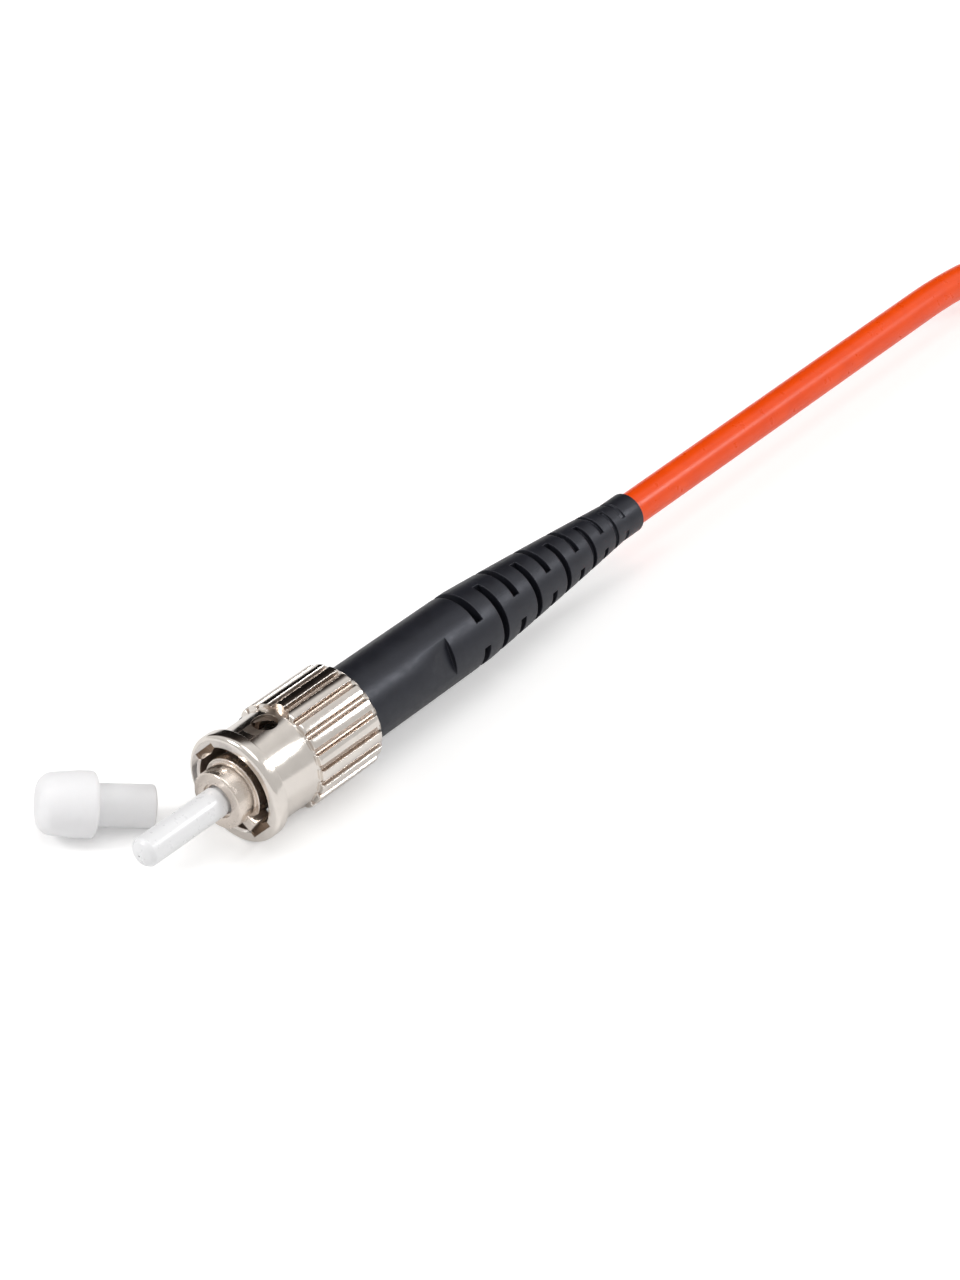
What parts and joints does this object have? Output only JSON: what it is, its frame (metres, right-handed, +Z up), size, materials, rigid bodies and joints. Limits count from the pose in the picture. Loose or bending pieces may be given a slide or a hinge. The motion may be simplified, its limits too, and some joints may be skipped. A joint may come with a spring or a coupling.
{
  "type": "st fibre connector",
  "caption": "Bayonet-lock optical fibre connector: ceramic ferrule, ribbed coupling nut, slotted strain relief boot, coiled jacketed cable and a loose dust cap.",
  "frame": {"origin": "on the connector's axis at the front face of the hub, where the ferrule comes out", "axes": "+X along the axis from the ferrule to the cable, +Z up from the floor that the nut, the cap and the coil lie on, +Y towards the side where the dust cap lies"},
  "size_m": [0.1866, 0.027, 0.012],
  "materials": {
    "zirconia": "polished",
    "glass": "polished",
    "buffer": "smooth",
    "nickel": "satin nickel plate on brass",
    "steel": "bright",
    "crimp": "satin",
    "aramid": "loose yarn",
    "boot": "fine matte",
    "jacket": "smooth satin",
    "tie": "woven",
    "cap": "frosted, slightly translucent"
  },
  "bodies": {
    "connector": {"ferrule": "zirconia", "glass_fibre": "glass", "tight_buffer": "buffer", "connector_body": "nickel", "spring": "steel", "thrust_washer": "steel", "retaining_ring": "steel", "crimp_sleeve": "crimp", "aramid_yarn": "aramid", "boot": "boot", "cable": "jacket", "cable_coil": "jacket", "coil_tie": "tie", "dust_cap": "cap"},
    "spring_carrier": {"spring_washer": "steel"},
    "nut": {"coupling_nut": "nickel"}
  },
  "joints": [
    {"name": "nut_slide", "type": "slide", "parent": "connector", "child": "spring_carrier", "axis": [-1, 0, 0], "range_m": [0, 0.002], "stiffness_N_per_m": 3000, "springref_m": -0.001, "deforming": ["spring"]},
    {"name": "nut_spin", "type": "hinge", "parent": "spring_carrier", "child": "nut", "pos_m": [0, 0, 0], "axis": [1, 0, 0], "continuous": true}
  ]
}
